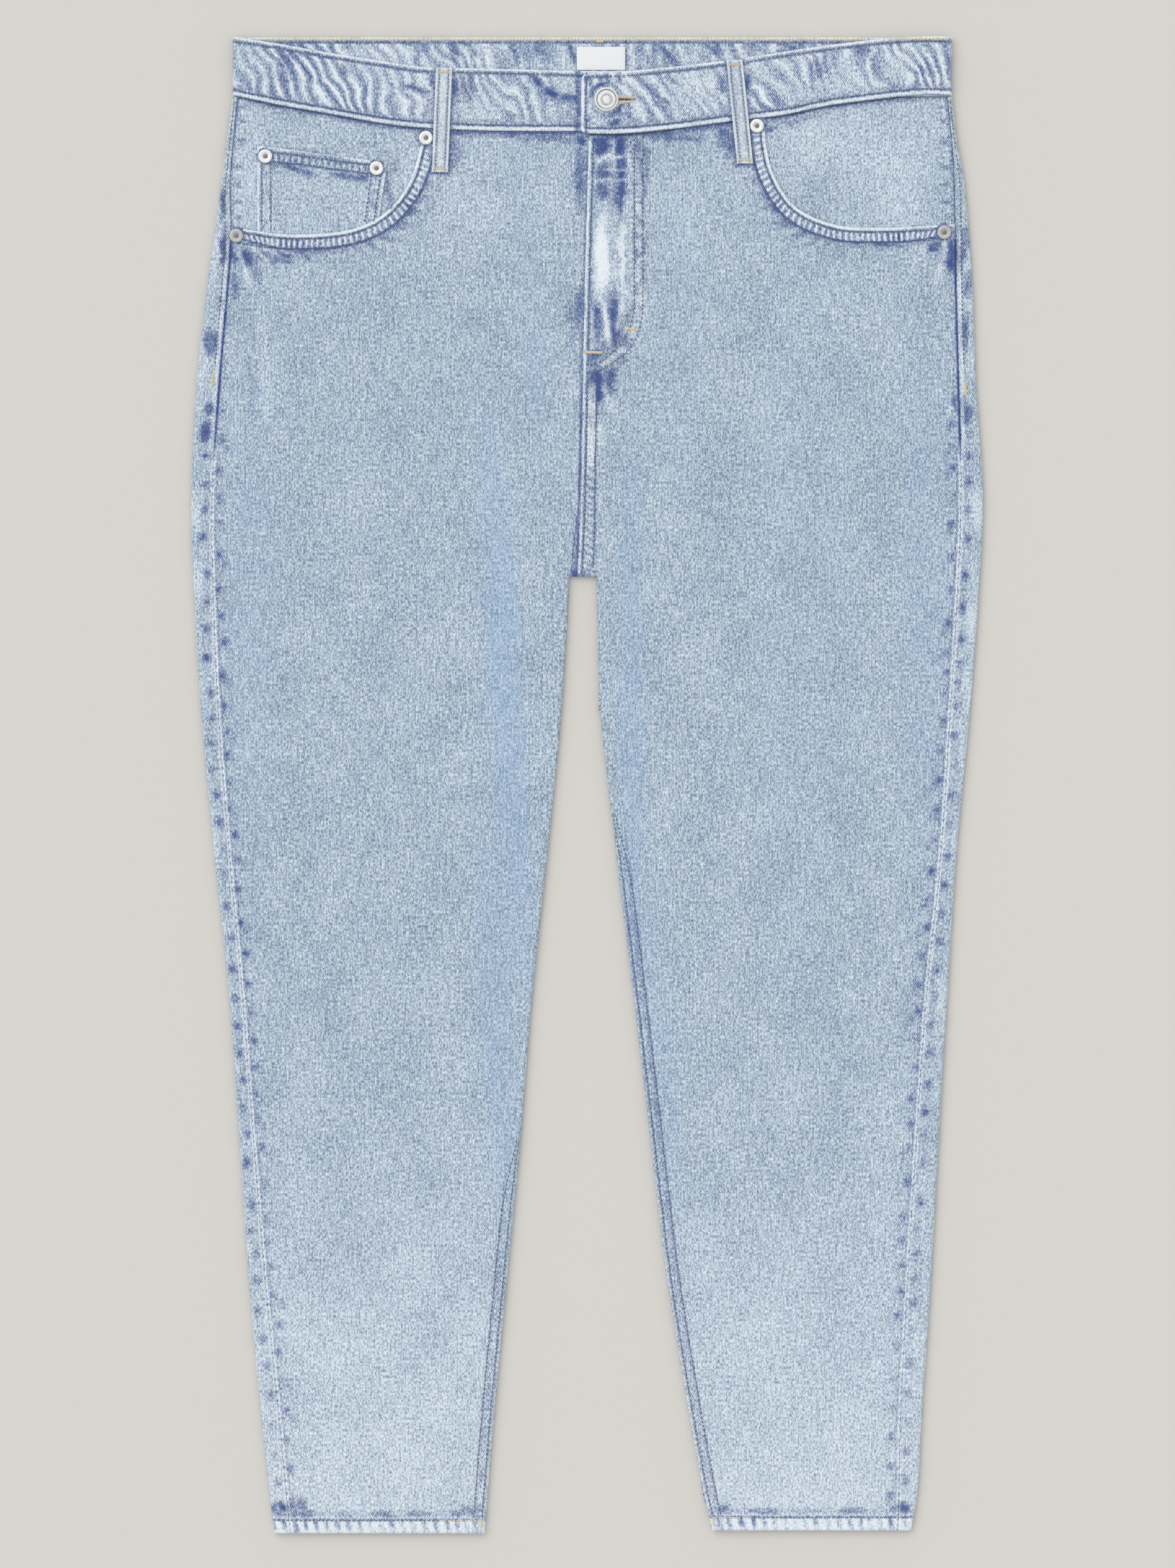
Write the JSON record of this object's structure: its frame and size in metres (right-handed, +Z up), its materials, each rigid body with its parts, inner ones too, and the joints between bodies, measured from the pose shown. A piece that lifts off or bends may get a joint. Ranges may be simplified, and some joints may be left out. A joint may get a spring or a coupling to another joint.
{
  "type": "mom jeans laid flat",
  "caption": "High-waisted tapered five-pocket jeans in light washed denim, laid flat on their back with the front up and the waistband buttoned.",
  "frame": {"origin": "on the surface the jeans lie on, under the middle of their length and width", "axes": "+X to the wearer's left, +Y to the waist, +Z up off the surface"},
  "size_m": [0.5582, 1.0548, 0.0124],
  "materials": {
    "washed_denim": "light blue stone-washed right-hand cotton twill, pale on raised edges, indigo in the seam hollows",
    "thread_indigo": "dull blue-grey spun polyester topstitch thread",
    "thread_tan": "pale tan spun polyester thread of the bar tacks and buttonhole",
    "nickel_metal": "matt nickel-plated stamped metal",
    "label_tape": "smooth white woven satin tape, blank"
  },
  "bodies": {
    "root": {"front_right": "washed_denim", "back_right": "washed_denim", "yoke_right": "washed_denim", "pocket_facing_right": "washed_denim", "back_pocket_right": "washed_denim", "front_left": "washed_denim", "back_left": "washed_denim", "yoke_left": "washed_denim", "pocket_facing_left": "washed_denim", "back_pocket_left": "washed_denim", "waistband": "washed_denim", "coin_pocket": "washed_denim", "belt_loop_front_right": "washed_denim", "belt_loop_front_left": "washed_denim", "belt_loop_back_right": "washed_denim", "belt_loop_back_centre": "washed_denim", "belt_loop_back_left": "washed_denim", "rivet_pocket_right_waist": "nickel_metal", "rivet_pocket_right_side": "nickel_metal", "rivet_coin_pocket_outer": "nickel_metal", "rivet_coin_pocket_inner": "nickel_metal", "rivet_pocket_left_waist": "nickel_metal", "rivet_pocket_left_side": "nickel_metal", "waist_button": "nickel_metal", "inner_label": "label_tape"}
  },
  "joints": []
}
